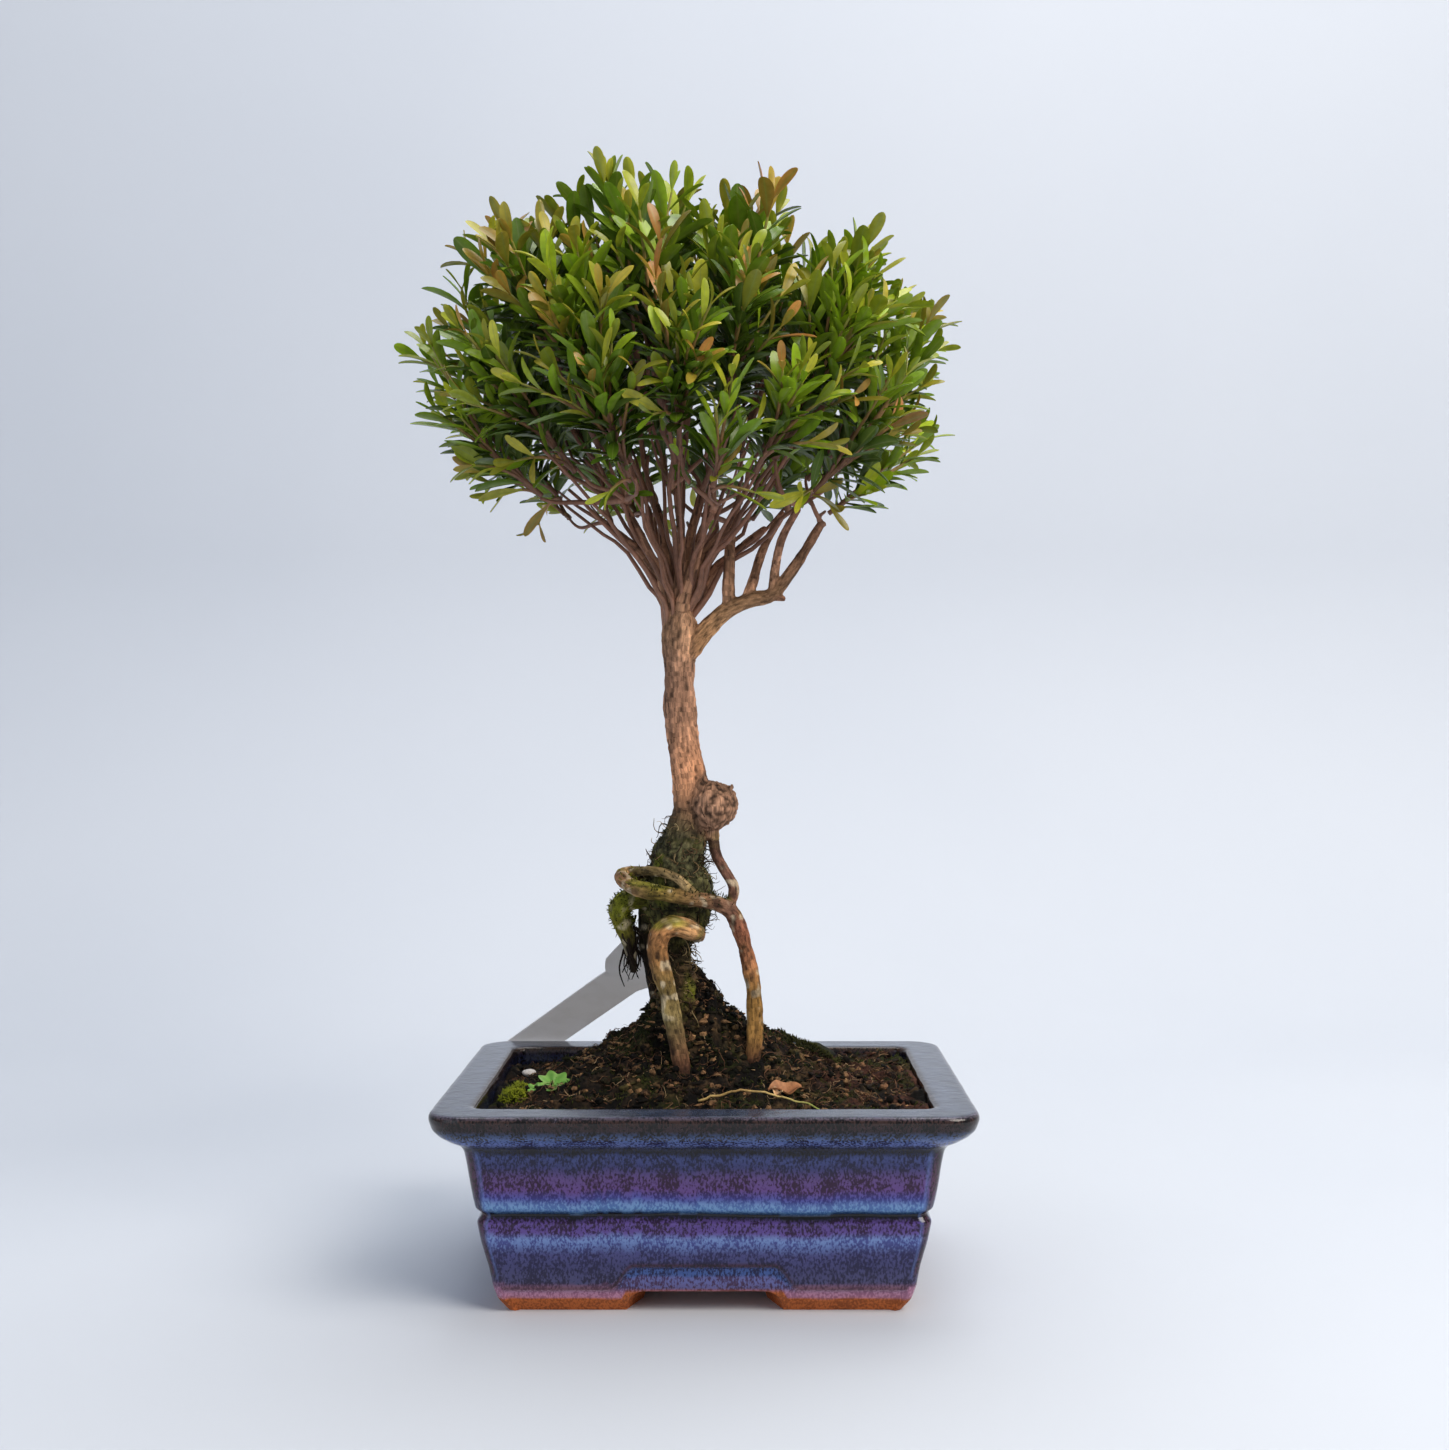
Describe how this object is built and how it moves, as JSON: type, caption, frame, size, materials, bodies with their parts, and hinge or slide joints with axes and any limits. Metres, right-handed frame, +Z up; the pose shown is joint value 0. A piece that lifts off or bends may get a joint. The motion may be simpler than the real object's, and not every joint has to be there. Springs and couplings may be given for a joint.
{
  "type": "bonsai tree in a pot",
  "caption": "Exposed-root bonsai with a broom-shaped leafy crown, growing from a soil mound in a stepped rectangular glazed pot on corner feet.",
  "frame": {"origin": "on the ground under the middle of the whole plant's box, 4 mm left of the pot's centre", "axes": "+Z up along the trunk, +X along the pot's long side to the right, the pot's front long side faces -Y"},
  "size_m": [0.1845, 0.1651, 0.362],
  "materials": {
    "pot_glaze": "gloss streaked blue-violet glaze, light blue where it pools, over bare brown clay feet",
    "screen_plastic": "matt",
    "soil": "damp dark crumbs",
    "bark": "fine fissured bark, moss-stained near the roots",
    "leaf": "glossy above, paler below",
    "label_plastic": "satin white",
    "moss": "soft tufts",
    "weed_leaf": "soft satin",
    "dead_leaf": "dry, papery",
    "straw": "dry satin",
    "white_stone": "smooth"
  },
  "bodies": {
    "root": {"pot": "pot_glaze", "drain_screen_left": "screen_plastic", "drain_screen_right": "screen_plastic", "soil": "soil", "trunk_and_roots": "bark", "plant_label": "label_plastic", "moss_cushion_left": "moss", "moss_cushion_right": "moss", "weed_seedling": "weed_leaf", "dry_leaf": "dead_leaf", "dry_stalk": "straw", "pebble": "white_stone", "leaf_spray_01": "leaf", "leaf_spray_02": "leaf", "leaf_spray_03": "leaf", "leaf_spray_04": "leaf", "leaf_spray_05": "leaf", "leaf_spray_06": "leaf", "leaf_spray_07": "leaf", "leaf_spray_08": "leaf", "leaf_spray_09": "leaf", "leaf_spray_10": "leaf", "leaf_spray_11": "leaf", "leaf_spray_12": "leaf", "leaf_spray_13": "leaf", "leaf_spray_14": "leaf", "leaf_spray_15": "leaf", "leaf_spray_16": "leaf", "leaf_spray_17": "leaf", "leaf_spray_18": "leaf", "leaf_spray_19": "leaf", "leaf_spray_20": "leaf", "leaf_spray_21": "leaf", "leaf_spray_22": "leaf", "leaf_spray_23": "leaf", "leaf_spray_24": "leaf", "leaf_spray_25": "leaf", "leaf_spray_26": "leaf", "leaf_spray_27": "leaf", "leaf_spray_28": "leaf", "leaf_spray_29": "leaf", "leaf_spray_30": "leaf", "leaf_spray_31": "leaf", "leaf_spray_32": "leaf", "leaf_spray_33": "leaf", "leaf_spray_34": "leaf", "leaf_spray_35": "leaf", "leaf_spray_36": "leaf"}
  },
  "joints": []
}
